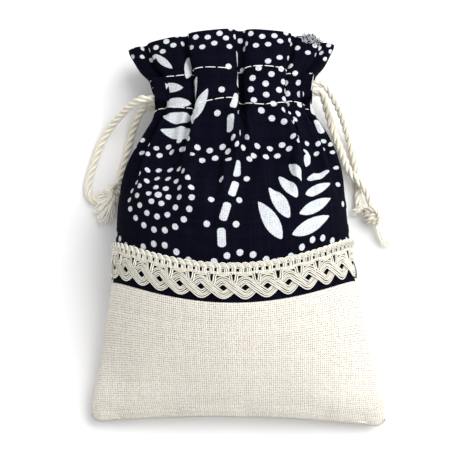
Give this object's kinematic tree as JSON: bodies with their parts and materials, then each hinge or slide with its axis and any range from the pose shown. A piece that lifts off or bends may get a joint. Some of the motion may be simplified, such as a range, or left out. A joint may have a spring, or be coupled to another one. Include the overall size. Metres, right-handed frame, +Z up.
{
  "type": "fabric gift sack",
  "caption": "Small drawstring gift sack in linen and printed cotton with a lace band, lying full on its back, its neck half drawn shut by two cords with knotted ends.",
  "frame": {"origin": "centre of the sack's footprint on the surface that it lies on, measured without its free cords", "axes": "+X to the right side seam, +Y from the bottom seam towards the neck, +Z up out of the front face"},
  "size_m": [0.1064, 0.1312, 0.0412],
  "materials": {
    "natural_linen": "matt plain weave",
    "printed_cotton": "matt plain weave, dark blue with a white print",
    "cotton_lace": "matt twisted thread",
    "sewing_thread": "slight sheen",
    "cotton_cord": "matt, three twisted plies"
  },
  "bodies": {
    "sack": {"linen_front": "natural_linen", "print_front": "printed_cotton", "lace_front": "cotton_lace", "casing_front": "printed_cotton", "facing_front": "printed_cotton", "heading_front": "printed_cotton", "lower_stitching_front": "sewing_thread", "upper_stitching_front": "sewing_thread", "shoulder_front_left": "printed_cotton", "casing_front_pleats_left": "printed_cotton", "facing_front_pleats_left": "printed_cotton", "heading_front_pleats_left": "printed_cotton", "shoulder_front_right": "printed_cotton", "casing_front_pleats_right": "printed_cotton", "facing_front_pleats_right": "printed_cotton", "heading_front_pleats_right": "printed_cotton", "linen_back": "natural_linen", "print_back": "printed_cotton", "lace_back": "cotton_lace", "casing_back": "printed_cotton", "facing_back": "printed_cotton", "heading_back": "printed_cotton", "lower_stitching_back": "sewing_thread", "upper_stitching_back": "sewing_thread", "shoulder_back_left": "printed_cotton", "casing_back_pleats_left": "printed_cotton", "facing_back_pleats_left": "printed_cotton", "heading_back_pleats_left": "printed_cotton", "shoulder_back_right": "printed_cotton", "casing_back_pleats_right": "printed_cotton", "facing_back_pleats_right": "printed_cotton", "heading_back_pleats_right": "printed_cotton", "side_seam_left": "natural_linen", "side_seam_right": "natural_linen", "bottom_seam": "natural_linen"},
    "neck_left": {"casing_front_end_left": "printed_cotton", "casing_back_end_left": "printed_cotton", "heading_end_left": "printed_cotton"},
    "neck_right": {"casing_front_end_right": "printed_cotton", "casing_back_end_right": "printed_cotton", "heading_end_right": "printed_cotton"},
    "left_drawstring": {"left_drawstring_run": "cotton_cord"},
    "right_drawstring": {"right_drawstring_run": "cotton_cord"},
    "left_loop": {"left_upper_strand": "cotton_cord", "left_lower_strand": "cotton_cord", "left_knot": "cotton_cord", "left_tassel": "cotton_cord"},
    "right_loop": {"right_upper_strand": "cotton_cord", "right_lower_strand": "cotton_cord", "right_knot": "cotton_cord", "right_tassel": "cotton_cord"}
  },
  "joints": [
    {"name": "left_drawstring_pull", "type": "slide", "parent": "sack", "child": "left_drawstring", "axis": [-1, 0, 0], "range_m": [0, 0.01]},
    {"name": "neck_right_gather", "type": "slide", "parent": "sack", "child": "neck_right", "axis": [-1, 0, 0], "range_m": [0, 0.01], "deforming": ["shoulder_front_right", "casing_front_pleats_right", "facing_front_pleats_right", "heading_front_pleats_right", "shoulder_back_right", "casing_back_pleats_right", "facing_back_pleats_right", "heading_back_pleats_right", "lower_stitching_front", "lower_stitching_back", "upper_stitching_front", "upper_stitching_back"]},
    {"name": "right_drawstring_pull", "type": "slide", "parent": "sack", "child": "right_drawstring", "axis": [1, 0, 0], "range_m": [0, 0.01]},
    {"name": "neck_left_gather", "type": "slide", "parent": "sack", "child": "neck_left", "axis": [1, 0, 0], "range_m": [0, 0.01], "deforming": ["shoulder_front_left", "casing_front_pleats_left", "facing_front_pleats_left", "heading_front_pleats_left", "shoulder_back_left", "casing_back_pleats_left", "facing_back_pleats_left", "heading_back_pleats_left", "lower_stitching_front", "lower_stitching_back", "upper_stitching_front", "upper_stitching_back"]},
    {"name": "left_loop_swing", "type": "hinge", "parent": "left_drawstring", "child": "left_loop", "pos_m": [-0.0285, 0.0417, 0.014], "axis": [0, 0, -1], "range_deg": [0, 65], "deforming": ["left_upper_strand", "left_lower_strand"]},
    {"name": "right_loop_swing", "type": "hinge", "parent": "right_drawstring", "child": "right_loop", "pos_m": [0.0285, 0.0453, 0.014], "axis": [0, 0, 1], "range_deg": [0, 65], "deforming": ["right_upper_strand", "right_lower_strand"]}
  ],
  "couplings": [
    {"joint": "neck_right_gather", "follows": "left_drawstring_pull", "ratio": 1},
    {"joint": "neck_left_gather", "follows": "right_drawstring_pull", "ratio": 1}
  ]
}
